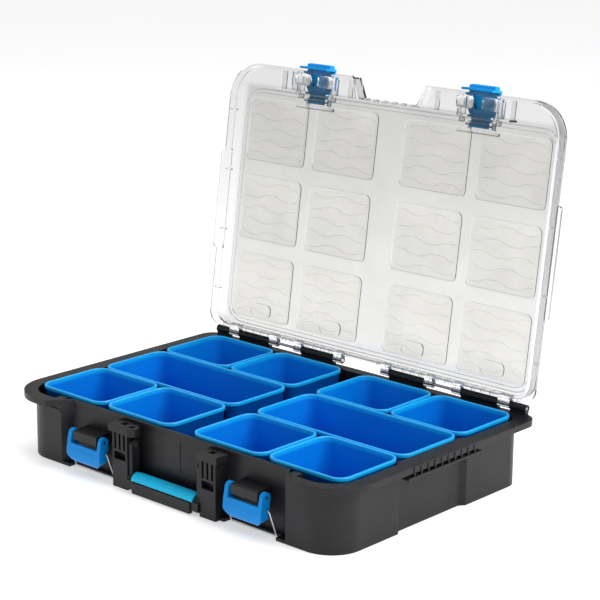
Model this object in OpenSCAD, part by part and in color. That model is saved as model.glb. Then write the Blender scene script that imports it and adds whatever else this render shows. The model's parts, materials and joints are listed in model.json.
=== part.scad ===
// Parts organizer: low tray base with a clear hinged lid, ten lift-out bins,
// two front clamps with wire bails, two lid catches and a folding handle.
// Origin: middle of the base's underside. +X right, -Y front, +Z up. Millimetres.

/* [Base tray] */
// Width of the tray body over its side walls
body_w = 530; // [480:5:660]
// Depth of the tray body over its front corner blocks and rear wall
body_d = 348; // [330:4:440]
// Height of the tray from the table to the top of its rim
body_h = 84; // [70:1:110]
// Thickness of the outer walls
wall = 2.5; // [2:0.1:3]
// Thickness of the tray floor
floor_t = 3; // [2:0.5:4]
// Radius of the tray's vertical corners
corner_r = 42; // [20:1:50]
// Set-back of the front wall between the corner blocks
front_recess = 14; // [12:1:14]
// Half width of the set-back part of the front, along the wall
recess_half = 182; // [181:1:186]
// Depth of the hand recess in each side wall
side_recess = 5.5; // [2:0.5:6]
// Length of the hand recess in each side wall
side_recess_len = 112; // [60:2:130]

/* [Rim] */
// Sideways overhang of the rim
rim_side = 16; // [10:1:20]
// Forward overhang of the rim
rim_front = 14; // [10:1:16]
// Rearward overhang of the rim, carrying the hinge
rim_rear = 12; // [10:1:16]
// Thickness of the rim plate
rim_t = 3.5; // [2.5:0.5:4]
// Height of the lip turned down at the rim's edge
rim_lip = 8; // [5:1:12]

/* [Bins] */
// Width of a small bin over its rim
bin_w = 118; // [90:1:118]
// Front-to-back size of a bin over its rim
bin_d = 106.9; // [90:0.1:107]
// Height of a bin
bin_h = 84; // [50:1:84]
// Gap between neighbouring bins in one group
bin_gap_x = 3.9; // [3:0.1:5]
// Gap between rows of bins
bin_gap_y = 1.7; // [1.5:0.1:3]
// Wider gap between the left and right groups
bin_gap_mid = 33.1; // [20:0.1:36]
// Wall thickness of a bin
bin_wall = 2; // [1.5:0.1:3]
// Corner radius of a bin's rim
bin_r = 16; // [10:1:22]
// How far the bin's rim stands out from its wall
bin_rim = 1.5; // [1:0.1:1.8]
// Height of the bin's rim band
bin_rim_h = 5; // [3:1:10]

/* [Lid] */
// Opening angle of the lid as drawn, resting on its hinge stop
lid_open = 97.7; // [85:0.1:105]
// Height of the lid's side wall above the rim
lid_h = 19.2; // [16:0.2:30]
// Thickness of the lid's walls and top
lid_t = 2.5; // [2:0.1:3]
// Thickness of the lid's edge flange
lid_flange_t = 4; // [3:0.5:5]
// Width of one lid pad
pad_w = 106; // [60:1:112]
// Front-to-back size of one lid pad
pad_d = 90; // [60:1:98]
// How far a pad stands proud of the lid's inside
pad_t = 1.4; // [0.8:0.1:3]
// Corner radius of a pad
pad_r = 9; // [3:1:15]
// Half width of the hand gap in the lid's front edge
hand_gap = 48; // [30:1:52]

/* [Hinge] */
// Height of the hinge axis above the rim
hinge_up = 8; // [7:0.5:10]
// Outer radius of the hinge knuckles
knuckle_r = 5; // [4.5:0.5:5.5]
// Radius of the hinge rods
rod_r = 2; // [1.5:0.25:2.5]

/* [Front clamps] */
// Distance of each clamp from the middle of the case
clamp_x = 136; // [132:1:140]
// Width of the clamp lever over its cheeks
lever_w = 60; // [56:1:64]
// Height of the clamp's pivot above the table
clamp_z = 49; // [46:1:52]
// Radius of the steel wire in the bail
wire_r = 1.3; // [1:0.1:1.6]
// Length of the bail from its eyes to its cross wire
bail_len = 33; // [30:1:33]

/* [Handle] */
// Half width of the space between the two front posts
post_in = 62; // [56:1:66]
// Width of each front post
post_w = 26; // [22:1:28]
// Height of the handle's pivot above the table
handle_z = 58; // [56:1:60]
// Length of the handle's arms from pivot to grip centre
handle_arm = 43; // [38:1:43]
// Radius of the handle's grip
grip_r = 9.5; // [7:0.5:10]

/* [Lid catches] */
// Width of a lid catch
catch_w = 48; // [36:1:50]

/* [Clearances] */
// Play between pieces that lift or swing past each other
gap = 0.3; // [0.3:0.05:0.6]
// Radial play of pins in their bores
pin_play = 0.05; // [0.03:0.01:0.1]

/* [Hidden] */
$fn = 96;
eps = 0.01;
bx = body_w / 2;
yf = -body_d / 2;
yr = body_d / 2;
y_rec = yf + front_recess;
rim_x = bx + rim_side;
rim_yf = yf - rim_front;
rim_yr = yr + rim_rear;
rim_r = corner_r + rim_front;
rim_rr = 20;
rear_r = 24;
rec_slant = 10;
// bins
bins_w = 4 * bin_w + 2 * bin_gap_x + bin_gap_mid;
bins_d = 3 * bin_d + 2 * bin_gap_y;
bin_y0 = yr - wall - 1.6 - bins_d;
bin_z0 = floor_t + gap;
pitch_y = bin_d + bin_gap_y;
// hinge
hy = rim_yr - 3;
hz = body_h + hinge_up;
base_knuckles = [[48, 106], [165, 222], [241, 265]];
lid_knuckles = [[34, 47.4], [106.6, 119], [151, 164.4], [222.6, 240.4]];
knuckle_scale = body_w / 530;
rod_x0 = 34.5 * knuckle_scale;
rod_x1 = 264.5 * knuckle_scale;
// lid, drawn closed and then swung open about the hinge
lz0 = body_h + gap;
lz1 = lz0 + lid_h;
lid_x = bx + 3;
lid_yf = yf - 16;
lid_yr = yr;
fl_x = bx + 13;
fl_bulge = bx + 19;
fl_yf = yf - 18;
fl_yr = yr + 1.5;
lid_in_y = y_rec - 3;
tab_half = hand_gap + 14;
// clamp
lever_in = lever_w / 2 - 5.5;
lever_y = yf - 3;
eye_z = clamp_z - 15;
bail_half = lever_w / 2 + 6;
eye_x = lever_w / 2 + 2 + wire_r;
bail_lean = -18;
// handle
hand_y = yf + 1;
grip_z = handle_z - handle_arm;
post_y = yf - 7;
post_top = body_h - 4;
post_out = post_in + post_w;
// catch
catch_y = yf + 24;
catch_z = lz1 + 5;
catch_zt = catch_z + 1;

col_black = [0.16, 0.16, 0.17];
col_blue = [0.05, 0.42, 0.90];
col_latch = [0.02, 0.50, 0.85];
col_clear = [0.86, 0.87, 0.88, 0.35];
col_steel = [0.75, 0.76, 0.78];

function bin_x(c) = -bins_w / 2 + bin_w / 2 + c * (bin_w + bin_gap_x)
    + (c > 1 ? bin_gap_mid - bin_gap_x : 0);
function bin_y(r) = bin_y0 + bin_d / 2 + r * pitch_y;

// rounded rectangle from (x0,y0) to (x1,y1): front corners rf, rear corners rr
module rrect(x0, x1, y0, y1, rf, rr) {
    translate([x0 + rf, y0]) square([x1 - x0 - 2 * rf, rf + eps]);
    translate([x0, y0 + rf]) square([x1 - x0, y1 - y0 - rf - rr]);
    translate([x0 + rr, y1 - rr - eps]) square([x1 - x0 - 2 * rr, rr + eps]);
    translate([x0 + rf, y0 + rf]) circle(rf);
    translate([x1 - rf, y0 + rf]) circle(rf);
    translate([x0 + rr, y1 - rr]) circle(rr);
    translate([x1 - rr, y1 - rr]) circle(rr);
}

// tray outline in plan, g inside the outer faces
module tray_outline(g) {
    difference() {
        rrect(-bx + g, bx - g, yf + g, yr - g, corner_r - g, rear_r - g);
        front_cut(g);
        side_cuts(g);
    }
}

module front_cut(g) {
    polygon([
        [-recess_half + -g, y_rec + g],
        [recess_half + g, y_rec + g],
        [recess_half + rec_slant + g, yf - 1],
        [recess_half + rec_slant + g, yf - 60],
        [-recess_half - rec_slant - g, yf - 60],
        [-recess_half - rec_slant - g, yf - 1]
    ]);
}

module side_cuts(g) {
    l = side_recess_len / 2;
    for (s = [-1, 1])
        polygon([
            [s * (bx - side_recess - g), -l - g],
            [s * (bx + 1), -l - g - side_recess * 1.6],
            [s * (bx + 60), -l - g - side_recess * 1.6],
            [s * (bx + 60), l + g + side_recess * 1.6],
            [s * (bx + 1), l + g + side_recess * 1.6],
            [s * (bx - side_recess - g), l + g]
        ]);
}

// rim outline in plan, g inside its edge
module rim_outline(g) {
    difference() {
        rrect(-rim_x + g, rim_x - g, rim_yf + g, rim_yr - g, rim_r - g, rim_rr - g);
        polygon([
            [-recess_half - g, y_rec - 2 + g],
            [recess_half + g, y_rec - 2 + g],
            [recess_half + 24 + g, rim_yf - 1],
            [-recess_half - 24 - g, rim_yf - 1]
        ]);
    }
}

// strip of one hinge knuckle with its web, along +X from x0 to x1
module knuckle(x0, x1, r) {
    translate([x0, hy, hz]) rotate([0, 90, 0]) cylinder(r = r, h = x1 - x0);
}

module hinge_bores(r) {
    for (s = [-1, 1])
        translate([s * (rod_x0 + rod_x1) / 2, hy, hz]) rotate([0, 90, 0])
            cylinder(r = r, h = rod_x1 - rod_x0 + 8, center = true);
}

module post() {
    // upright block with a top plate, three grooves and a pocket in its face
    difference() {
        union() {
            translate([post_in, post_y, 0]) cube([post_w, y_rec - post_y + 1, post_top]);
            translate([post_in - 2, post_y - 3, post_top - 9])
                cube([post_w + 6, y_rec - post_y + 4, 9]);
        }
        for (i = [0 : 2])
            translate([post_in + 3.5 + i * (post_w - 10.5) / 2, post_y - 1, post_top - 31])
                cube([3.5, 6, 22]);
        translate([post_in + 3, post_y - 1, post_top - 44]) cube([post_w - 6, 9, 10]);
        translate([post_in + post_w / 2 - 4.5, post_y + 5, post_top - 14]) cube([9, 8, 15]);
    }
}

module base_shell() {
    color(col_black) difference() {
        union() {
            // walls, with the floor plate carried forward under the front
            difference() {
                linear_extrude(body_h) tray_outline(0);
                translate([0, 0, floor_t]) linear_extrude(body_h) tray_outline(wall);
            }
            translate([-recess_half - rec_slant, yf, 0])
                cube([2 * (recess_half + rec_slant), front_recess + 1, floor_t + 1]);
            // rim plate and turned-down lip
            translate([0, 0, body_h - rim_t]) linear_extrude(rim_t) difference() {
                rim_outline(0);
                tray_outline(wall);
            }
            translate([0, 0, body_h - rim_lip]) linear_extrude(rim_lip) difference() {
                rim_outline(0);
                rim_outline(2.5);
                square([2 * recess_half + 6, body_d * 3], center = true);
            }
            translate([0, rim_yr - 2.5, body_h - rim_lip])
                translate([-recess_half - 4, 0, 0]) cube([2 * recess_half + 8, 2.5, rim_lip]);
            // step band under the rim
            translate([0, 0, body_h - 16]) linear_extrude(4) difference() {
                rrect(-bx - 1.2, bx + 1.2, yf - 1.2, yr + 1.2, corner_r + 1.2, rear_r + 1.2);
                tray_outline(1);
                translate([0, yf - 20]) square([2 * recess_half + 2 * rec_slant, 90], center = true);
                side_cuts(0);
            }
            // hand ledges at the sides, ribbed underneath
            for (s = [-1, 1]) {
                translate([s * (bx + 5) - 13, -side_recess_len / 2 - 12, body_h - 14])
                    cube([26, side_recess_len + 24, 2.5]);
                for (i = [0 : 9])
                    translate([s * (bx + 8) - 9, -side_recess_len / 2 + i * side_recess_len / 9 - 1,
                               body_h - 12])
                        cube([18, 2, 10]);
            }
            // front posts, the left one with an eared top plate
            post();
            mirror([1, 0, 0]) post();
            translate([-post_in + 3, post_y + 6, post_top - 10]) cylinder(r = 9, h = 10);
            // corner-block bosses at the ends of the set-back front
            for (s = [-1, 1])
                translate([s * (recess_half + 17) - 6, yf + 2, body_h - 10]) cube([12, 12, 10]);
            // low ribs on the floor that keep the bins in place
            for (r = [1, 2])
                translate([-bins_w / 2 + 2, bin_y0 + r * pitch_y - bin_gap_y / 2 - 1.1, floor_t - eps])
                    cube([bins_w - 4, 2.2, 12]);
            for (c = [0, 2])
                for (r = [0, 2])
                    translate([bin_x(c) + bin_w / 2 + bin_gap_x / 2 - 1.5,
                               bin_y(r) - bin_d / 2 + 6, floor_t - eps])
                        cube([3, bin_d - 12, 12]);
            for (s = [-1, 1])
                translate([s * (bin_gap_mid / 2 - 1.5) - 1.25, bin_y0 + 6, floor_t - eps])
                    cube([2.5, bins_d - 12, 12]);
            // hinge knuckles standing on the rear rim
            for (s = [-1, 1])
                for (k = base_knuckles) {
                    x0 = s > 0 ? k[0] * knuckle_scale : -k[1] * knuckle_scale;
                    x1 = s > 0 ? k[1] * knuckle_scale : -k[0] * knuckle_scale;
                    knuckle(x0, x1, knuckle_r);
                    translate([x0, hy - 3, body_h - 1]) cube([x1 - x0, 6, hinge_up]);
                }
        }
        hinge_bores(rod_r + pin_play);
        // notches in the front of the floor for the hanging bails
        for (s = [-1, 1])
            translate([s * clamp_x - bail_half - 5, yf - 1, -1])
                cube([2 * bail_half + 10, front_recess - 2.5, floor_t + 3]);
        // round hole in the left post's ear
        translate([-post_in + 3, post_y + 6, post_top - 8]) cylinder(r = 4, h = 12);
        // shallow panel in the front wall between the posts
        translate([8, y_rec - 1, 36]) cube([30, 1.8, 36]);
        // handle pivot bores in the posts
        translate([0, hand_y, handle_z]) rotate([0, 90, 0])
            cylinder(r = 3 + pin_play, h = 2 * post_in + 20, center = true);
    }
}

// ---- lift-out bins ----
module bin(c0, c1, r) {
    x0 = bin_x(c0) - bin_w / 2;
    x1 = bin_x(c1) + bin_w / 2;
    y0 = bin_y(r) - bin_d / 2;
    y1 = y0 + bin_d;
    t = bin_rim;
    w = bin_rim + bin_wall;
    color(col_blue) translate([0, 0, bin_z0]) difference() {
        union() {
            linear_extrude(bin_h) rrect(x0 + t, x1 - t, y0 + t, y1 - t, bin_r - t, bin_r - t);
            translate([0, 0, bin_h - bin_rim_h]) linear_extrude(bin_rim_h)
                rrect(x0, x1, y0, y1, bin_r, bin_r);
        }
        translate([0, 0, bin_wall]) linear_extrude(bin_h)
            rrect(x0 + w, x1 - w, y0 + w, y1 - w, bin_r - w, bin_r - w);
    }
}
module bin_front_1() { bin(0, 0, 0); }
module bin_front_2() { bin(1, 1, 0); }
module bin_front_3() { bin(2, 2, 0); }
module bin_front_4() { bin(3, 3, 0); }
module bin_wide_left() { bin(0, 1, 1); }
module bin_wide_right() { bin(2, 3, 1); }
module bin_rear_1() { bin(0, 0, 2); }
module bin_rear_2() { bin(1, 1, 2); }
module bin_rear_3() { bin(2, 2, 2); }
module bin_rear_4() { bin(3, 3, 2); }

// ---- lid ----
module on_lid() {
    translate([0, hy, hz]) rotate([-lid_open, 0, 0]) translate([0, -hy, -hz]) children();
}

// lid wall outline in plan, g inside the outer faces, hand gap cut in front
module lid_outline(g) {
    difference() {
        rrect(-lid_x + g, lid_x - g, lid_yf + g, lid_yr - g, corner_r + 3 - g, rear_r - g);
        hand_cut(g, lid_in_y, lid_yf);
    }
}

module hand_cut(g, y_in, y_out) {
    polygon([
        [-hand_gap - g, y_in + g],
        [hand_gap + g, y_in + g],
        [tab_half + g, y_out - 1],
        [tab_half + g, y_out - 40],
        [-tab_half - g, y_out - 40],
        [-tab_half - g, y_out - 1]
    ]);
}

module flange_outline() {
    difference() {
        union() {
            rrect(-fl_x, fl_x, fl_yf, fl_yr, corner_r + 8, 18);
            rrect(-fl_bulge, fl_bulge, -side_recess_len / 2 - 14, side_recess_len / 2 + 14, 5, 5);
        }
        hand_cut(0, lid_in_y - 2, fl_yf);
    }
}

module lid_pads() {
    pw = bin_w + bin_gap_x + 0.8;
    for (r = [0 : 2])
        for (c = [0 : 3])
            translate([bin_x(c), bin_y(r) - 2, 0])
                linear_extrude(pad_t + eps)
                    rrect(-pad_w / 2, pad_w / 2, -pad_d / 2, pad_d / 2, pad_r, pad_r);
}

module lid_shell() {
    color(col_clear) on_lid() difference() {
        union() {
            // walls and top
            difference() {
                translate([0, 0, lz0]) linear_extrude(lid_h) lid_outline(0);
                translate([0, 0, lz0 - 1]) linear_extrude(lid_h - lid_t + 1) lid_outline(lid_t);
            }
            // edge flange
            translate([0, 0, lz0]) linear_extrude(lid_flange_t) difference() {
                flange_outline();
                lid_outline(lid_t);
            }
            // inner wall over the set-back front of the tray
            translate([-recess_half - 12, lid_in_y, lz0])
                cube([2 * recess_half + 24, lid_t, lid_h - 1]);
            // twelve pads facing the bins
            translate([0, 0, lz1 - lid_t - pad_t]) lid_pads();
            // gussets between the flange and the side walls
            for (s = [-1, 1])
                for (i = [-1.5 : 1 : 1.5])
                    translate([s * (lid_x + 3) - 4.5, i * body_d * 0.24 - 1, lz0 + 1])
                        cube([9, 2, lid_flange_t + 3]);
            // ribs inside the front edge
            for (x = [hand_gap + 24, clamp_x + 34, clamp_x + 54])
                for (s = [-1, 1])
                    translate([s * x - 1, lid_yf + 1, lz0 + 6]) cube([2, lid_in_y - lid_yf, lid_h - 7]);
            // four stacking feet on the outside, near the hinge
            for (x = [clamp_x * 0.52, clamp_x * 1.46])
                for (s = [-1, 1])
                    translate([s * x, bin_y(2) + 30, lz1 - eps]) linear_extrude(2)
                        rrect(-18, 18, -9, 9, 7, 7);
            // lugs that carry the catches
            for (s = [-1, 1])
                for (q = [-1, 1])
                    translate([s * clamp_x + q * 18.5 - 2, catch_y - 5, lz1 - 1]) cube([4, 10, 10]);
            // hinge knuckles with webs to the rear wall
            for (s = [-1, 1])
                for (k = lid_knuckles) {
                    x0 = s > 0 ? k[0] * knuckle_scale : -k[1] * knuckle_scale;
                    x1 = s > 0 ? k[1] * knuckle_scale : -k[0] * knuckle_scale;
                    knuckle(x0, x1, knuckle_r);
                    translate([x0, lid_yr - 1, hz - 4]) cube([x1 - x0, hy - lid_yr + 1, 8]);
                }
        }
        hinge_bores(rod_r + pin_play);
        // tapered thumb notches under the catches
        for (s = [-1, 1])
            translate([s * clamp_x, 0, lz1 - lid_t - 1]) linear_extrude(lid_t + 4)
                polygon([[-15, lid_yf + lid_t + 1], [15, lid_yf + lid_t + 1],
                         [6, lid_yf + 20], [-6, lid_yf + 20]]);
        // catch pin bores
        for (s = [-1, 1])
            translate([s * clamp_x, catch_y, catch_z]) rotate([0, 90, 0])
                cylinder(r = 1.5 + pin_play, h = 50, center = true);
    }
}

// ---- lid catches: flat blade with a ribbed nose and a turned-down front ----
module catch_at(s) {
    w = catch_w / 2;
    yn = lid_yf - 3;
    color(col_latch) on_lid() translate([s * clamp_x, 0, 0]) difference() {
        union() {
            translate([0, 0, catch_zt - 1.6]) linear_extrude(3.2)
                polygon([[-w, yn], [w, yn], [w, catch_y - 20], [15.5, catch_y - 8], [15.5, catch_y - 1],
                         [-15.5, catch_y - 1], [-15.5, catch_y - 8], [-w, catch_y - 20]]);
            translate([0, catch_y, catch_z]) rotate([0, 90, 0])
                cylinder(r = 3.4, h = 32, center = true);
            translate([-w, yn - 3, catch_zt - 19]) cube([catch_w, 3, 20.6]);
            translate([-w + 4, yn - 6.5, catch_zt - 8]) cube([catch_w - 8, 4, 10]);
            for (i = [0 : 6])
                translate([-w + 6 + i * (catch_w - 14) / 6, yn - 7.5, catch_zt - 7])
                    cube([2, 6, 9.8]);
        }
        translate([0, catch_y, catch_z]) rotate([0, 90, 0])
            cylinder(r = 1.5 + pin_play, h = 60, center = true);
    }
}
module catch_left() { catch_at(-1); }
module catch_right() { catch_at(1); }

module catch_pin_at(s) {
    color(col_steel) on_lid() translate([s * clamp_x, catch_y, catch_z]) rotate([0, 90, 0])
        cylinder(r = 1.5, h = 41, center = true);
}
module catch_pin_left() { catch_pin_at(-1); }
module catch_pin_right() { catch_pin_at(1); }

// ---- hinge rods ----
module rod_at(s) {
    color(col_steel) translate([s * (rod_x0 + rod_x1) / 2, hy, hz]) rotate([0, 90, 0])
        cylinder(r = rod_r, h = rod_x1 - rod_x0, center = true);
}
module hinge_rod_left() { rod_at(-1); }
module hinge_rod_right() { rod_at(1); }

// ---- front clamps ----
module bracket_at(s) {
    w = lever_in - 3.5;
    color(col_black) translate([s * clamp_x, lever_y, clamp_z]) difference() {
        union() {
            rotate([90, 0, 90]) linear_extrude(2 * w, center = true)
                polygon([[-6.5, -5.5], [-5.5, -6.5], [y_rec - lever_y, -6.5],
                         [y_rec - lever_y, 7.5], [-4.5, 6.5], [-6.5, 5.5]]);
        }
        translate([0, 10, -3]) cube([2 * w - 8, 10, 14], center = true);
        rotate([0, 90, 0]) cylinder(r = 2 + pin_play, h = 2 * w + 4, center = true);
    }
}
module bracket_left() { bracket_at(-1); }
module bracket_right() { bracket_at(1); }

module lever_at(s) {
    hw = lever_w / 2;
    color(col_latch) translate([s * clamp_x, lever_y, clamp_z]) difference() {
        union() {
            // curved front plate
            rotate([90, 0, 90]) linear_extrude(2 * hw - 4, center = true)
                polygon([[-9, -10], [-10.5, -20], [-10, -27], [-8, -31.5], [-4.5, -34.5],
                         [-3, -32.5], [-5.2, -30], [-7, -26], [-7.5, -20], [-6, -10]]);
            // cheeks with round heads at the pivot
            for (q = [-1, 1]) translate([q * (hw - 2.75), 0, 0]) rotate([90, 0, 90]) {
                linear_extrude(5.5, center = true)
                    polygon([[-7, 0], [-9.5, -12], [-10.5, -22], [-9.5, -28], [-6, -32.5],
                             [-1, -30], [4, -21], [4.5, -12], [6, 0]]);
                translate([-0.5, 0, -2.75]) cylinder(r = 6.5, h = 5.5);
            }
        }
        // cut lower corners
        for (q = [-1, 1])
            translate([q * hw, -8, -34.5]) rotate([0, 45, 0]) cube([13, 40, 13], center = true);
        rotate([0, 90, 0]) cylinder(r = 2 + pin_play, h = lever_w + 4, center = true);
        translate([0, 0, -15]) rotate([0, 90, 0])
            cylinder(r = wire_r + pin_play, h = lever_w + 4, center = true);
    }
}
module lever_left() { lever_at(-1); }
module lever_right() { lever_at(1); }

module lever_pin_at(s) {
    color(col_steel) translate([s * clamp_x, lever_y, clamp_z]) rotate([0, 90, 0])
        cylinder(r = 2, h = lever_w - 1, center = true);
}
module lever_pin_left() { lever_pin_at(-1); }
module lever_pin_right() { lever_pin_at(1); }

// straight round wire in the XY plane from a to b, past each end by e
module wire(a, b, w, e) {
    d = b - a;
    u = d / norm(d);
    translate([a[0] - u[0] * e, a[1] - u[1] * e, 0]) rotate([0, 90, atan2(d[1], d[0])])
        cylinder(r = w, h = norm(d) + 2 * e);
}

module bail_at(s) {
    // the bail hangs with its cross wire tucked in under the front
    x0 = lever_w / 2 - 4.5;
    color(col_steel) translate([s * clamp_x, lever_y, eye_z]) rotate([90 - bail_lean, 0, 0])
    {
        wire([-bail_half, -bail_len], [bail_half, -bail_len], wire_r, wire_r);
        for (q = [-1, 1]) {
            wire([q * eye_x, 0], [q * bail_half, -bail_len], wire_r * 0.94, 0.4);
            wire([q * x0, 0], [q * eye_x, 0], wire_r, wire_r * 0.9);
        }
    }
}
module bail_left() { bail_at(-1); }
module bail_right() { bail_at(1); }

// ---- folding handle ----
module handle_bar() {
    hx = post_in - 0.5;
    color(col_black) difference() {
        translate([0, hand_y, handle_z]) union() {
            for (q = [-1, 1]) {
                translate([q * (hx - 3), 0, -handle_arm / 2])
                    cube([6, 12, handle_arm], center = true);
                translate([q * (hx - 3), 0, 0]) rotate([0, 90, 0])
                    cylinder(r = 6, h = 6, center = true);
            }
            // grip core and the web under it
            translate([0, -2, -handle_arm]) rotate([0, 90, 0])
                cylinder(r = grip_r - 2.5, h = 2 * hx, center = true);
            translate([-hx, -2 - grip_r + 0.5, -handle_arm - 10]) cube([2 * hx, grip_r + 5, 11]);
            translate([-hx + 12, -2 - grip_r - 1.5, -handle_arm - 14])
                cube([2 * hx - 24, 5, 14]);
        }
        translate([0, hand_y, handle_z]) rotate([0, 90, 0])
            cylinder(r = 3 + pin_play, h = 2 * post_in + 20, center = true);
    }
}

module handle_grip() {
    // soft half-round sleeve over the upper front of the bar
    gx = post_in - 10;
    color(col_latch) translate([0, hand_y - 2, grip_z]) difference() {
        rotate([0, 90, 0]) cylinder(r = grip_r, h = 2 * gx, center = true);
        rotate([0, 90, 0]) cylinder(r = grip_r - 2.5, h = 2 * gx + 2, center = true);
        translate([-gx - 1, -20, -20]) cube([2 * gx + 2, 40, 21]);
    }
}

module handle_pins() {
    color(col_steel) for (q = [-1, 1])
        translate([q * (post_in + 1), hand_y, handle_z]) rotate([0, 90, 0])
            cylinder(r = 3, h = 14, center = true);
}

base_shell();
bin_front_1();
bin_front_2();
bin_front_3();
bin_front_4();
bin_wide_left();
bin_wide_right();
bin_rear_1();
bin_rear_2();
bin_rear_3();
bin_rear_4();
lid_shell();
catch_left();
catch_right();
catch_pin_left();
catch_pin_right();
hinge_rod_left();
hinge_rod_right();
bracket_left();
bracket_right();
lever_left();
lever_right();
lever_pin_left();
lever_pin_right();
bail_left();
bail_right();
handle_bar();
handle_grip();
handle_pins();
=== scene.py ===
"""Looks for the parts organizer: materials, fine details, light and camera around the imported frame."""
import json
import math
import bpy
from mathutils import Matrix, Vector


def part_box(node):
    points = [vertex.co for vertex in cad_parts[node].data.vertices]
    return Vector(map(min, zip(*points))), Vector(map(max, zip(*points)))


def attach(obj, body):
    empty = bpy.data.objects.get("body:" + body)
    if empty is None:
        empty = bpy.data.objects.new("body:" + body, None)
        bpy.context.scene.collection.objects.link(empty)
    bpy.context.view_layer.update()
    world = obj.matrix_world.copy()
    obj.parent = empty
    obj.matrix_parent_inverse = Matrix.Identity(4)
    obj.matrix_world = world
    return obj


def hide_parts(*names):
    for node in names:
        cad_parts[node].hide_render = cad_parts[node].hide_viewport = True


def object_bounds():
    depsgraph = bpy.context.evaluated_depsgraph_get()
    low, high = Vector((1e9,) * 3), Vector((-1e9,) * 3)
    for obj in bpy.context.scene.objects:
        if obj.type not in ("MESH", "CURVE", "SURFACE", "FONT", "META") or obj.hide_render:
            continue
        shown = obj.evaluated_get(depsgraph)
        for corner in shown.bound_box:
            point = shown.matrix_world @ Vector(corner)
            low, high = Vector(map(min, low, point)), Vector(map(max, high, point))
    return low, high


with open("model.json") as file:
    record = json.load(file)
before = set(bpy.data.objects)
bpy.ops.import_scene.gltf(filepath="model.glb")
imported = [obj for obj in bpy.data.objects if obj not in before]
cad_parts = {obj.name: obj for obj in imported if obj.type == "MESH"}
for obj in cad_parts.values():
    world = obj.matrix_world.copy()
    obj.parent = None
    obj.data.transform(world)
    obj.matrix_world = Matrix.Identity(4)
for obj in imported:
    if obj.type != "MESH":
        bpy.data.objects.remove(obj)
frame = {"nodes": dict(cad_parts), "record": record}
cad_box = [[float(v) for v in c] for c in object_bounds()]
NODES = frame["nodes"]
scene = bpy.context.scene
scene.view_settings.view_transform = "Standard"
scene.view_settings.look = "None"

# ---------------------------------------------------------------- shared places, in mm
MM = 1000.0                                     # millimetres in a metre
HINGE = Vector((0.0, 183.0, 92.0))              # a point on the lid's hinge line
OPEN_DEG = 97.7                                 # how far open the lid is drawn
CLAMP_X = 136.0                                 # clamps and catches, from the middle
PLATE_TOP = 103.5                               # outer face of the shut lid's plate
COLUMN_X = (-197.45, -75.55, 75.55, 197.45)     # middles of the pad columns
ROW_Y = (-102.75, 5.85, 114.45)                 # middles of the pad rows


# ---------------------------------------------------------------- material building blocks
def new_mat(name):
    """An empty material with one Principled shader."""
    m = bpy.data.materials.new(name)
    m.use_nodes = True
    nt = m.node_tree
    for n in list(nt.nodes):
        nt.nodes.remove(n)
    out = nt.nodes.new("ShaderNodeOutputMaterial")
    bs = nt.nodes.new("ShaderNodeBsdfPrincipled")
    nt.links.new(bs.outputs[0], out.inputs[0])
    return m, nt, bs


def node(nt, kind, **settings):
    n = nt.nodes.new(kind)
    for key, value in settings.items():
        setattr(n, key, value)
    return n


def noise(nt, scale, detail=3.0, rough=0.5, dist=0.0, stretch=None):
    """Noise in the object's own coordinates, in metres."""
    src = node(nt, "ShaderNodeTexCoord").outputs["Object"]
    if stretch:
        mp = node(nt, "ShaderNodeMapping")
        mp.inputs["Scale"].default_value = stretch
        nt.links.new(src, mp.inputs[0])
        src = mp.outputs[0]
    n = node(nt, "ShaderNodeTexNoise")
    n.inputs["Scale"].default_value = scale
    n.inputs["Detail"].default_value = detail
    n.inputs["Roughness"].default_value = rough
    n.inputs["Distortion"].default_value = dist
    nt.links.new(src, n.inputs["Vector"])
    return n.outputs["Fac"]


def ramp(nt, fac, stops):
    """Colour ramp: stops are (position, grey or (r, g, b))."""
    r = node(nt, "ShaderNodeValToRGB")
    elements = r.color_ramp.elements
    while len(elements) < len(stops):
        elements.new(0.5)
    for e, (p, c) in zip(elements, stops):
        e.position = p
        e.color = (c, c, c, 1) if isinstance(c, (int, float)) else (*c, 1)
    nt.links.new(fac, r.inputs[0])
    return r.outputs[0]


def remap(nt, value, a, b, lo=0.0, hi=1.0, smooth=False):
    """Value from a..b to lo..hi."""
    n = node(nt, "ShaderNodeMapRange", interpolation_type="SMOOTHSTEP" if smooth else "LINEAR")
    for socket, v in (("From Min", a), ("From Max", b), ("To Min", lo), ("To Max", hi)):
        n.inputs[socket].default_value = v
    nt.links.new(value, n.inputs["Value"])
    return n.outputs[0]


def product(nt, a, b):
    n = node(nt, "ShaderNodeMath", operation="MULTIPLY")
    nt.links.new(a, n.inputs[0])
    nt.links.new(b, n.inputs[1])
    return n.outputs[0]


def bump(nt, height, strength, distance, normal=None):
    b = node(nt, "ShaderNodeBump")
    b.inputs["Strength"].default_value = strength
    b.inputs["Distance"].default_value = distance
    nt.links.new(height, b.inputs["Height"])
    if normal is not None:
        nt.links.new(normal, b.inputs["Normal"])
    return b.outputs[0]


def edge_wear(nt, radius, lo, hi):
    """Mask that is 1 along outer edges, from how far the rounded normal leaves the real one."""
    bv = node(nt, "ShaderNodeBevel", samples=4)
    bv.inputs["Radius"].default_value = radius
    geo = node(nt, "ShaderNodeNewGeometry")
    dot = node(nt, "ShaderNodeVectorMath", operation="DOT_PRODUCT")
    nt.links.new(bv.outputs[0], dot.inputs[0])
    nt.links.new(geo.outputs["Normal"], dot.inputs[1])
    return remap(nt, dot.outputs["Value"], lo, hi), bv.outputs[0]


def mix(nt, fac, a, b):
    m = node(nt, "ShaderNodeMix", data_type="RGBA", blend_type="MIX")
    for sock, v in ((m.inputs[0], fac), (m.inputs[6], a), (m.inputs[7], b)):
        if isinstance(v, (int, float)):
            sock.default_value = v
        elif isinstance(v, tuple):
            sock.default_value = (*v, 1)
        else:
            nt.links.new(v, sock)
    return m.outputs[2]


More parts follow.
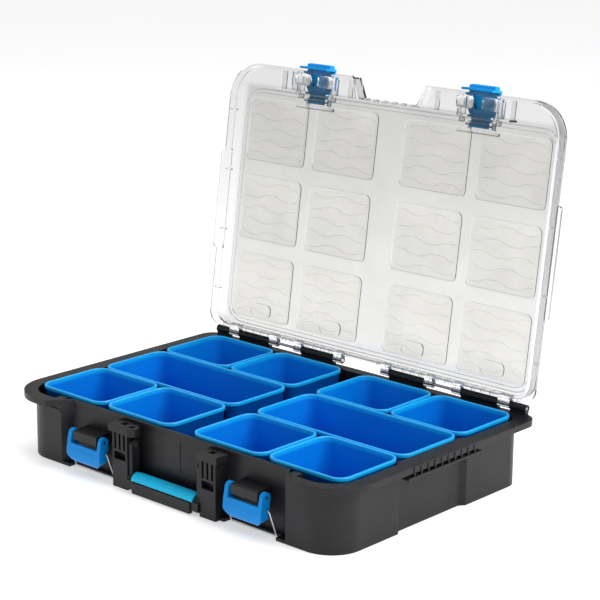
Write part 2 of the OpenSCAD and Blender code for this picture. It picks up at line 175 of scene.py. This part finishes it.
# ---------------------------------------------------------------- materials
PLASTIC_IOR = 1.49


def plastic(name, dark, light, worn, rough, grain, grain_size, bevel, spec):
    """Moulded plastic: clouded colour, fine grain, uneven gloss and edges paled by use."""
    m, nt, bs = new_mat(name)
    colour = ramp(nt, noise(nt, 9.0, 4.0, 0.55, 0.4), [(0.30, dark), (0.72, light)])
    wear, rounded = edge_wear(nt, bevel, 0.995, 0.90)
    patch = ramp(nt, noise(nt, 60.0, 3.0, 0.6), [(0.38, 0.0), (0.66, 1.0)])
    colour = mix(nt, product(nt, wear, patch), colour, worn)
    nt.links.new(colour, bs.inputs["Base Color"])
    flow = noise(nt, 34.0, 3.0, 0.6, 0.8, (1.0, 1.0, 0.35))
    nt.links.new(remap(nt, flow, 0.3, 0.7, rough - 0.05, rough + 0.06), bs.inputs["Roughness"])
    fine = noise(nt, 1.0 / grain_size, 2.0, 0.5)
    nt.links.new(bump(nt, fine, grain, 0.0002, rounded), bs.inputs["Normal"])
    bs.inputs["Specular IOR Level"].default_value = spec
    bs.inputs["IOR"].default_value = PLASTIC_IOR
    return m


def bin_plastic(name, painted_shade_heights=(0.004, 0.070), painted_rim_glow_heights=(0.0800, 0.0832)):
    """Blue polypropylene with painted light: painted shade darkens its walls towards the floor and a painted
    glow makes its thin rim paler.

    lighten and painted_rim_glow_heights are the heights, in metres, between which each change happens.
    """
    m, nt, bs = new_mat(name)
    sep = node(nt, "ShaderNodeSeparateXYZ")
    nt.links.new(node(nt, "ShaderNodeTexCoord").outputs["Object"], sep.inputs[0])
    height = sep.outputs["Z"]
    cloud = noise(nt, 11.0, 4.0, 0.55, 0.5)
    painted_shade_blue = ramp(nt, cloud, [(0.3, (0.0, 0.082, 0.50)), (0.7, (0.0, 0.098, 0.56))])
    high = ramp(nt, cloud, [(0.3, (0.0, 0.225, 0.80)), (0.7, (0.0, 0.25, 0.86))])
    # painted light: the paler blue of a glow painted on the thin rim
    rim = ramp(nt, noise(nt, 45.0, 3.0, 0.6), [(0.3, (0.002, 0.41, 0.94)), (0.7, (0.004, 0.46, 0.98))])
    # painted shade: the inside walls go from the lighter blue high up to the deeper blue near the floor
    colour = mix(nt, remap(nt, height, *painted_shade_heights, smooth=True), painted_shade_blue, high)
    # painted light: the rim band takes the painted glow
    colour = mix(nt, remap(nt, height, *painted_rim_glow_heights, smooth=True), colour, rim)
    nt.links.new(colour, bs.inputs["Base Color"])
    flow = noise(nt, 30.0, 3.0, 0.6, 0.6, (1.0, 1.0, 0.3))
    nt.links.new(remap(nt, flow, 0.3, 0.7, 0.27, 0.38), bs.inputs["Roughness"])
    nt.links.new(bump(nt, noise(nt, 700.0, 2.0, 0.5), 0.08, 0.0002), bs.inputs["Normal"])
    bs.inputs["IOR"].default_value = PLASTIC_IOR
    return m


def plate_mask(nt, sides=(0.268, 0.256), front=(-0.168, -0.158), rear=(0.176, 0.168)):
    """1 on the lid's flat plate and 0 on the flange round it, in the shut lid's own directions; it places
    the painted light of the paler flange.

    Each pair is where the mask starts and where it is full, in metres.
    """
    turn = node(nt, "ShaderNodeVectorRotate", rotation_type="X_AXIS")
    turn.inputs["Center"].default_value = HINGE / MM
    turn.inputs["Angle"].default_value = math.radians(OPEN_DEG)
    nt.links.new(node(nt, "ShaderNodeTexCoord").outputs["Object"], turn.inputs["Vector"])
    sep = node(nt, "ShaderNodeSeparateXYZ")
    nt.links.new(turn.outputs[0], sep.inputs[0])
    across = node(nt, "ShaderNodeMath", operation="ABSOLUTE")
    nt.links.new(sep.outputs["X"], across.inputs[0])
    mask = remap(nt, across.outputs[0], *sides, smooth=True)
    for limits in (front, rear):
        mask = product(nt, mask, remap(nt, sep.outputs["Y"], *limits, smooth=True))
    return mask


def clear_plastic(name, tints, rough, wave=0.12, edge=None):
    """Clear moulding with a faint ripple; edge is the paler tint painted on the lid's flange, painted light
    that brightens it.
    """
    m, nt, bs = new_mat(name)
    colour = ramp(nt, noise(nt, 14.0, 4.0, 0.6, 0.5), [(0.3, tints[0]), (0.7, tints[1])])
    if edge:
        # painted light: the flange round the plate takes the paler edge tint
        colour = mix(nt, plate_mask(nt), edge, colour)
    nt.links.new(colour, bs.inputs["Base Color"])
    gloss = remap(nt, noise(nt, 80.0, 3.0, 0.6), 0.0, 1.0, rough, rough + 0.05)
    nt.links.new(gloss, bs.inputs["Roughness"])
    ripple = noise(nt, 30.0, 2.0, 0.5, 0.3, (1.0, 0.5, 0.5))
    nt.links.new(bump(nt, ripple, wave, 0.0006), bs.inputs["Normal"])
    bs.inputs["Transmission Weight"].default_value = 1.0
    bs.inputs["IOR"].default_value = 1.45
    return m


def steel(name):
    """Drawn wire and rod, with streaks that run along X."""
    m, nt, bs = new_mat(name)
    streak = noise(nt, 90.0, 3.0, 0.6, 0.0, (0.1, 1.0, 1.0))
    colour = ramp(nt, streak, [(0.3, (0.42, 0.42, 0.43)), (0.7, (0.58, 0.58, 0.59))])
    nt.links.new(colour, bs.inputs["Base Color"])
    nt.links.new(remap(nt, streak, 0.0, 1.0, 0.18, 0.34), bs.inputs["Roughness"])
    bs.inputs["Metallic"].default_value = 1.0
    nt.links.new(bump(nt, streak, 0.08, 0.0002), bs.inputs["Normal"])
    return m


M = {
    "tray_black": plastic("tray_black_look", (0.0095, 0.0095, 0.011), (0.014, 0.014, 0.016),
                          (0.040, 0.040, 0.044), 0.38, 0.30, 0.0006, 0.0009, 0.28),
    "latch_blue": plastic("latch_blue_look", (0.0, 0.225, 0.66), (0.0, 0.262, 0.74),
                          (0.03, 0.40, 0.84), 0.36, 0.14, 0.0010, 0.0010, 0.16),
    "bin_blue": bin_plastic("bin_blue_look"),
    # the lid's paler flange tint is painted light
    "lid_clear": clear_plastic("lid_clear_look", ((0.58, 0.58, 0.575), (0.63, 0.63, 0.62)), 0.03,
                               edge=(0.80, 0.80, 0.805)),
    "steel": steel("steel_look"),
}
# painted highlight: the handle grip is a lighter copy of the latch blue, standing in for the light on its
# rounded top
GRIP_PAINTED_HIGHLIGHT_LOOK = plastic("grip_painted_highlight_look", (0.004, 0.52, 0.88), (0.006, 0.58, 0.94),
                    (0.05, 0.52, 0.92), 0.36, 0.18, 0.0010, 0.0008, 0.30)
# painted light: the catches are a lighter copy of the latch blue, so they read bright where seen through the
# lid
CATCH_PAINTED_LIGHT_LOOK = plastic("catch_painted_light_look", (0.0, 0.38, 0.88), (0.0, 0.43, 0.95),
                     (0.05, 0.46, 0.92), 0.34, 0.14, 0.0010, 0.0008, 0.25)
# painted shade: the bins' outsides and undersides take a darker copy of the bin blue
BIN_OUTER_PAINTED_SHADE = plastic("bin_outer_painted_shade_look", (0.0, 0.070, 0.36), (0.0, 0.086, 0.42),
                    (0.0, 0.10, 0.45), 0.36, 0.10, 0.0012, 0.0006, 0.30)
CLEAR = clear_plastic("clear_detail_look", ((0.90, 0.90, 0.905), (0.93, 0.93, 0.93)), 0.03)
PAD_LOOK = clear_plastic("pad_look", ((0.96, 0.95, 0.92), (0.98, 0.97, 0.945)), 0.05, 0.25)
WAVE_LOOK = clear_plastic("wave_look", ((0.95, 0.95, 0.94), (0.98, 0.98, 0.97)), 0.05, 0.2)

# the grip and catches take their painted-light copies of the latch blue in place of their own material
PAINTED_LIGHT_LOOK = {"handle_grip": GRIP_PAINTED_HIGHLIGHT_LOOK, "catch_left": CATCH_PAINTED_LIGHT_LOOK, "catch_right": CATCH_PAINTED_LIGHT_LOOK}
SLOT_OF = {s["node"]: s["material_slot"] for s in frame["record"]["subparts"]}
for node_name, cad_object in NODES.items():
    for material_slot in cad_object.material_slots:
        material_slot.material = PAINTED_LIGHT_LOOK.get(node_name, M[SLOT_OF[node_name]])


# ---------------------------------------------------------------- mesh building blocks
def box_mm(name):
    """A CAD node's lowest and highest corners, in mm."""
    return [[c * MM for c in corner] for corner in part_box(name)]


def add(name, verts, faces, mat, body, smooth=40.0):
    """A new mesh piece, in mm, that rides on a CAD body; smooth is its sharpest smooth edge, in degrees."""
    me = bpy.data.meshes.new(name)
    me.from_pydata([tuple(c / MM for c in v) for v in verts], [], faces)
    me.validate()
    me.shade_smooth()
    me.set_sharp_from_angle(angle=math.radians(smooth))
    me.materials.append(mat)
    o = bpy.data.objects.new(name, me)
    scene.collection.objects.link(o)
    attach(o, body)
    return o


def ring(cx, cy, hx, hy, r, z, steps=8):
    """A rounded rectangle's points at height z, from its middle, half sizes and corner radius."""
    pts = []
    for qx, qy, start in ((1, 1, 0), (-1, 1, 90), (-1, -1, 180), (1, -1, 270)):
        for i in range(steps + 1):
            a = math.radians(start + 90.0 * i / steps)
            pts.append((cx + qx * (hx - r) + r * math.cos(a), cy + qy * (hy - r) + r * math.sin(a), z))
    return pts


def loft(rings):
    """A closed skin over rings of equally many points: its last two faces are the ends."""
    verts, faces, n = [], [], len(rings[0])
    for r in rings:
        verts += r
    for k in range(len(rings) - 1):
        for i in range(n):
            j = (i + 1) % n
            faces.append((k * n + i, k * n + j, (k + 1) * n + j, (k + 1) * n + i))
    faces.append(tuple(range(n))[::-1])
    faces.append(tuple((len(rings) - 1) * n + i for i in range(n)))
    return verts, faces


OPEN = (Matrix.Translation(HINGE) @ Matrix.Rotation(math.radians(-OPEN_DEG), 4, "X")
        @ Matrix.Translation(-HINGE))


def on_lid(verts):
    """From the shut lid's place to its drawn, open place."""
    return [tuple(OPEN @ Vector(v)) for v in verts]


def lid_blocks(name, items, bevel):
    """Small rounded clear blocks on the lid, as one piece: items are (x0, y0, z0, x1, y1, z1), lid shut."""
    verts, faces = [], []
    for x0, y0, z0, x1, y1, z1 in items:
        k = len(verts)
        verts += [(x0, y0, z0), (x1, y0, z0), (x1, y1, z0), (x0, y1, z0),
                  (x0, y0, z1), (x1, y0, z1), (x1, y1, z1), (x0, y1, z1)]
        faces += [tuple(k + i for i in q) for q in ((3, 2, 1, 0), (4, 5, 6, 7), (0, 1, 5, 4), (1, 2, 6, 5),
                                                    (2, 3, 7, 6), (3, 0, 4, 7))]
    o = add(name, on_lid(verts), faces, CLEAR, "lid", 30.0)
    b = o.modifiers.new("round", "BEVEL")
    b.width = bevel / MM
    b.segments = 2
    b.limit_method = "ANGLE"
    return o


def bent(corners, r, steps=9):
    """Points along a path whose inner corners are cut back by r and rounded."""
    out = [Vector(corners[0])]
    for a, b, c in zip(corners, corners[1:], corners[2:]):
        a, b, c = Vector(a), Vector(b), Vector(c)
        p, q = b + (a - b).normalized() * r, b + (c - b).normalized() * r
        for i in range(steps + 1):
            u = i / steps
            out.append(p * (1 - u) ** 2 + b * 2 * u * (1 - u) + q * u ** 2)
    out.append(Vector(corners[-1]))
    return out


def tube(pts, radius, sides=14):
    """A closed round wire along points, with its sides carried from one ring to the next."""
    verts, faces = [], []
    across = Vector((0, 1, 0))
    for i, p in enumerate(pts):
        along = (pts[min(i + 1, len(pts) - 1)] - pts[max(i - 1, 0)]).normalized()
        across = (across - along * across.dot(along)).normalized()
        up = along.cross(across)
        for k in range(sides):
            a = 2 * math.pi * k / sides
            verts.append(tuple(p + (across * math.cos(a) + up * math.sin(a)) * radius))
    for i in range(len(pts) - 1):
        for k in range(sides):
            m = (k + 1) % sides
            faces.append((i * sides + k, i * sides + m, (i + 1) * sides + m, (i + 1) * sides + k))
    faces.append(tuple(range(sides))[::-1])
    faces.append(tuple((len(pts) - 1) * sides + k for k in range(sides)))
    return verts, faces


# ---------------------------------------------------------------- bins
BIN_WALL = 3.4
BIN_CORNER_R = 17.5
BIN_INNER_R = 4.0       # the least corner radius, inside
OUTER_BANDS = 7         # bands of the profile that lie outside, below the rim, which take the painted-shade blue


def bin_profile(z0, z1):
    """(inset, height) from the underside up the outside, over the rolled rim and down to the floor."""
    w = BIN_WALL
    return [(w + 4.6, z0), (w + 2.6, z0 + 0.35), (w + 1.85, z0 + 1.2), (w + 1.6, z0 + 2.8),
            (1.75, z1 - 6.2), (1.55, z1 - 5.5), (1.1, z1 - 5.05), (0.5, z1 - 4.9), (0.12, z1 - 4.5),
            (0.0, z1 - 3.9), (0.0, z1 - 1.7), (0.12, z1 - 0.95), (0.5, z1 - 0.35), (1.1, z1 - 0.05),
            (1.75, z1), (2.5, z1 - 0.05), (3.1, z1 - 0.35), (3.5, z1 - 0.95), (3.65, z1 - 1.8),
            (3.7, z1 - 6.0), (w + 3.7, z0 + 9.0), (w + 4.1, z0 + 6.0), (w + 5.2, z0 + 3.8),
            (w + 7.2, z0 + 2.5), (w + 10.0, z0 + 2.0)]


def shaped_bin(name):
    """A tapered bin with fillets at its floor and a thick rounded rim, in its CAD node's box."""
    lo, hi = box_mm(name)
    cx, cy = (lo[0] + hi[0]) / 2, (lo[1] + hi[1]) / 2
    hx, hy = (hi[0] - lo[0]) / 2, (hi[1] - lo[1]) / 2
    rings = [ring(cx, cy, hx - d, hy - d, max(BIN_CORNER_R - d, BIN_INNER_R), z)
             for d, z in bin_profile(lo[2], hi[2])]
    verts, faces = loft(rings)
    piece = add("shaped_" + name, verts, faces, M["bin_blue"], name, 50.0)
    # painted shade: the outer bands below the rim and the underside take the darker painted-shade blue
    piece.data.materials.append(BIN_OUTER_PAINTED_SHADE)
    for p in piece.data.polygons[:len(rings[0]) * OUTER_BANDS]:
        p.material_index = 1
    underside = piece.data.polygons[len(faces) - 2]
    underside.material_index = 1
    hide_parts(name)


for bin_name in [n for n in NODES if n.startswith("bin_")]:
    shaped_bin(bin_name)


# ---------------------------------------------------------------- lid
def pad_faces(hx=51.4, hy=43.4, corner_r=8.0):
    """A thin frosted face inside each raised pad."""
    verts, faces = [], []
    for cx in COLUMN_X:
        for cy in ROW_Y:
            v, f = loft([ring(cx, cy, hx - d, hy - d, corner_r - d, z)
                         for d, z in ((0.0, 99.50), (0.4, 99.15), (1.0, 99.05))])
            k = len(verts)
            verts += v
            faces += [tuple(k + i for i in q)[::-1] for q in f]
    add("pad_faces", on_lid(verts), faces, PAD_LOOK, "lid")


def pad_waves(lines=5, pitch=17.0, length=94.0, steps=32):
    """Low moulded waves that cross each pad on the outside of the lid."""
    low, high = PLATE_TOP - 0.06, PLATE_TOP + 0.08
    verts, faces = [], []
    for cx in COLUMN_X:
        for row, cy in enumerate(ROW_Y):
            for line in range(lines):
                y0 = cy + (line - (lines - 1) / 2) * pitch
                phase = cx * 0.37 + line * 1.9 + row * 2.3
                k = len(verts)
                for i in range(steps + 1):
                    u = i / steps
                    step = math.tanh(3.0 * math.sin(3.0 * math.pi * u + phase))
                    x = cx + (u - 0.5) * length
                    y = y0 + 1.9 * step + 0.8 * math.sin(9 * u + phase)
                    verts += [(x, y - 0.5, low), (x, y - 0.25, high), (x, y + 0.25, high), (x, y + 0.5, low)]
                for i in range(steps):
                    at = k + 4 * i
                    faces += [(at + a, at + 4 + a, at + 5 + a, at + 1 + a) for a in range(3)]
                    faces.append((at + 3, at + 7, at + 4, at))
                end = k + 4 * steps
                faces.append((k, k + 1, k + 2, k + 3))
                faces.append((end + 3, end + 2, end + 1, end))
    add("pad_waves", on_lid(verts), faces, WAVE_LOOK, "lid", 60.0)


def contour_steps():
    """Two low ridges that run round the outside of the plate."""
    verts, faces = [], []
    # half width, front edge, rear edge, corner radius, ridge width, ridge height
    for hx, front, rear, r, w, h in ((263.5, -158.5, 169.5, 30.0, 1.3, 1.1),
                                     (257.5, -153.0, 164.0, 26.0, 0.9, 0.7)):
        cy, hy = (front + rear) / 2, (rear - front) / 2
        foot, shoulder, top = PLATE_TOP - 0.08, PLATE_TOP + h * 0.8, PLATE_TOP + h
        section = ((0.0, foot), (0.15, shoulder), (w / 2, top), (w - 0.15, shoulder), (w, foot))
        rows = [ring(0.0, cy, hx - d, hy - d, r - d, z) for d, z in section]
        k, n = len(verts), len(rows[0])
        for row in rows:
            verts += row
        for a in range(len(rows)):
            b = (a + 1) % len(rows)
            for i in range(n):
                j = (i + 1) % n
                faces.append((k + a * n + i, k + a * n + j, k + b * n + j, k + b * n + i))
    add("contour_steps", on_lid(verts), faces, CLEAR, "lid", 60.0)


def mirrored(centre, side, near, far):
    """The x range from near to far beside centre, on side -1 or 1."""
    return sorted((centre + side * near, centre + side * far))


def catch_housings():
    """Clear cheeks and a rear bar round each catch."""
    blocks = []
    for s in (-1, 1):
        c = s * CLAMP_X
        for q in (-1, 1):
            a, b = mirrored(c, q, 25.4, 31.5)
            blocks.append((a, -188.0, 102.8, b, -152.0, 109.6))
            a, b = mirrored(c, q, 33.5, 36.5)
            blocks.append((a, -184.0, 102.8, b, -162.0, 106.6))
        blocks.append((c - 33.0, -143.5, 102.8, c + 33.0, -139.5, 107.2))
    lid_blocks("catch_housings", blocks, 1.4)


def catch_bosses():
    """Clear bosses behind the front flange, two under each catch."""
    blocks = []
    for s in (-1, 1):
        for q in (-1, 1):
            a, b = mirrored(s * CLAMP_X, q, 9.0, 31.0)
            blocks.append((a, -186.0, 89.5, b, -170.0, 100.9))
    lid_blocks("catch_bosses", blocks, 3.6)


def edge_ribs():
    """Small ribs in the hand gap at the front and along the rear edge."""
    blocks = [(x - 2.6, -165.4, 90.0, x + 2.6, -162.4, 96.0) for x in (-38, -23, -8, 8, 23, 38)]
    blocks += [(x - 0.7, 172.0, 88.5, x + 0.7, 176.8, 98.0) for x in range(-252, 253, 14) if abs(x) > 20]
    lid_blocks("edge_ribs", blocks, 0.4)


pad_faces()
pad_waves()
contour_steps()
catch_housings()
catch_bosses()
edge_ribs()

# ---------------------------------------------------------------- clamps' bails
EYE_Y, EYE_Z = -177.0, 34.0             # the levers' lower eyes
BAIL_LEN = 33.0                         # from the eyes to the cross wire
BAIL_LEAN = math.radians(18.0)          # inward, under the front
BAIL_STUB_X = 25.6                      # the wire's ends, inside the lever
BAIL_EYE_X = 33.3                       # the tops of its legs
BAIL_HALF = 36.0                        # half its cross wire
WIRE_R = 1.3
WIRE_BEND = 3.2


def bail(side, name):
    """One round wire with bent corners, on the lines of the CAD wire that it replaces."""
    def at(x, down):
        return (side * CLAMP_X + x, EYE_Y + down * math.sin(BAIL_LEAN), EYE_Z - down * math.cos(BAIL_LEAN))

    path = [at(-BAIL_STUB_X, 0), at(-BAIL_EYE_X, 0), at(-BAIL_HALF, BAIL_LEN),
            at(BAIL_HALF, BAIL_LEN), at(BAIL_EYE_X, 0), at(BAIL_STUB_X, 0)]
    verts, faces = tube(bent(path, WIRE_BEND), WIRE_R)
    piece = add("bent_" + name, verts, faces, M["steel"], name, 50.0)
    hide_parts(name)


bail(-1, "bail_left")
bail(1, "bail_right")


# ---------------------------------------------------------------- handle
def grip_ridges(cover_r=9.5, height=0.55, end_height=0.05, sunk=-0.15):
    """Lengthwise low rounded strips on the half-round grip cover."""
    lo, hi = box_mm("handle_grip")
    cy, cz = (lo[1] + hi[1]) / 2, hi[2] - cover_r
    stations = ((lo[0] + 4.0, end_height), (lo[0] + 5.5, height),
                (hi[0] - 5.5, height), (hi[0] - 4.0, end_height))
    verts, faces = [], []
    for deg in range(38, 139, 20):
        k = len(verts)
        for x, h in stations:
            for turn, out in ((-5.0, sunk), (-2.2, h * 0.85), (0.0, h), (2.2, h * 0.85), (5.0, sunk)):
                a = math.radians(deg + turn)
                verts.append((x, cy - (cover_r + out) * math.cos(a), cz + (cover_r + out) * math.sin(a)))
        for i in range(3):
            at = k + 5 * i
            faces += [(at + j, at + j + 1, at + j + 6, at + j + 5) for j in range(4)]
            faces.append((at + 4, at, at + 5, at + 9))
        faces.append(tuple(k + j for j in (4, 3, 2, 1, 0)))
        faces.append(tuple(k + j for j in (15, 16, 17, 18, 19)))
    # the ridges take the grip's painted-highlight blue
    add("grip_ridges", verts, faces, GRIP_PAINTED_HIGHLIGHT_LOOK, "handle", 60.0)


grip_ridges()


# ---------------------------------------------------------------- floor and light
def make_floor(half=12.0, gap=0.0004):
    """A plain pale floor, in metres, just under the object."""
    mat, nt, bs = new_mat("floor_look")
    colour = ramp(nt, noise(nt, 3.0, 2.0, 0.5), [(0.3, (0.93, 0.93, 0.93)), (0.7, (0.95, 0.95, 0.95))])
    nt.links.new(colour, bs.inputs["Base Color"])
    bs.inputs["Roughness"].default_value = 0.6
    bs.inputs["Specular IOR Level"].default_value = 0.25
    bs.inputs["Emission Color"].default_value = (1, 1, 1, 1)
    bs.inputs["Emission Strength"].default_value = 0.46
    mesh = bpy.data.meshes.new("floor")
    corners = [(-half, -half, 0), (half, -half, 0), (half, half, 0), (-half, half, 0)]
    mesh.from_pydata(corners, [], [(0, 1, 2, 3)])
    mesh.materials.append(mat)
    floor = bpy.data.objects.new("floor", mesh)
    scene.collection.objects.link(floor)
    floor.location.z = cad_box[0][2] - gap


def make_world(strength):
    world = bpy.data.worlds.new("studio")
    scene.world = world
    world.use_nodes = True
    background = world.node_tree.nodes["Background"]
    background.inputs[0].default_value = (1.0, 1.0, 1.0, 1)
    background.inputs[1].default_value = strength


def area(name, at, to, size, power):
    """A white rectangular light at one point, aimed at another."""
    light = bpy.data.lights.new(name, "AREA")
    light.shape = "RECTANGLE"
    light.size, light.size_y = size
    light.energy = power
    light.color = (1, 1, 1)
    o = bpy.data.objects.new(name, light)
    scene.collection.objects.link(o)
    o.location = at
    o.rotation_euler = (Vector(to) - Vector(at)).to_track_quat("-Z", "Y").to_euler()


make_floor()
make_world(0.48)
area("key", (2.3, 0.3, 1.9), (0, 0, 0.05), (1.3, 1.3), 52)
area("top", (-0.3, 0.9, 2.6), (0, 0, 0), (2.0, 1.6), 26)
area("fill", (-1.8, -2.4, 1.6), (0, 0, 0.05), (1.2, 1.2), 3)

# ---------------------------------------------------------------- camera
AZIMUTH, ELEVATION, ROLL = (math.radians(a) for a in (42.95, 14.60, 0.29))
LOOK_AT = Vector((0.0, 0.008, 0.2252))
DISTANCE = 2.30178
SENSOR_MM = 36.0
LENS_MM = 111.972
SHIFT = (0.046583, -0.013883)   # the view's middle, as a share of the frame


def looking_at(target, distance):
    """World matrix of a camera at AZIMUTH, ELEVATION and ROLL round a target."""
    back = Vector((math.sin(AZIMUTH) * math.cos(ELEVATION), -math.cos(AZIMUTH) * math.cos(ELEVATION),
                   math.sin(ELEVATION)))
    level = Vector((math.cos(AZIMUTH), math.sin(AZIMUTH), 0.0))
    above = back.cross(level)
    right = level * math.cos(ROLL) + above * math.sin(ROLL)
    up = -level * math.sin(ROLL) + above * math.cos(ROLL)
    place = target + back * distance
    return Matrix(((right.x, up.x, back.x, place.x), (right.y, up.y, back.y, place.y),
                   (right.z, up.z, back.z, place.z), (0, 0, 0, 1)))


camera = bpy.data.cameras.new("camera")
camera.sensor_width = SENSOR_MM
camera.lens = LENS_MM
camera.shift_x, camera.shift_y = SHIFT
camera.clip_end = 60.0
eye = bpy.data.objects.new("camera", camera)
scene.collection.objects.link(eye)
eye.matrix_world = looking_at(LOOK_AT, DISTANCE)
scene.camera = eye
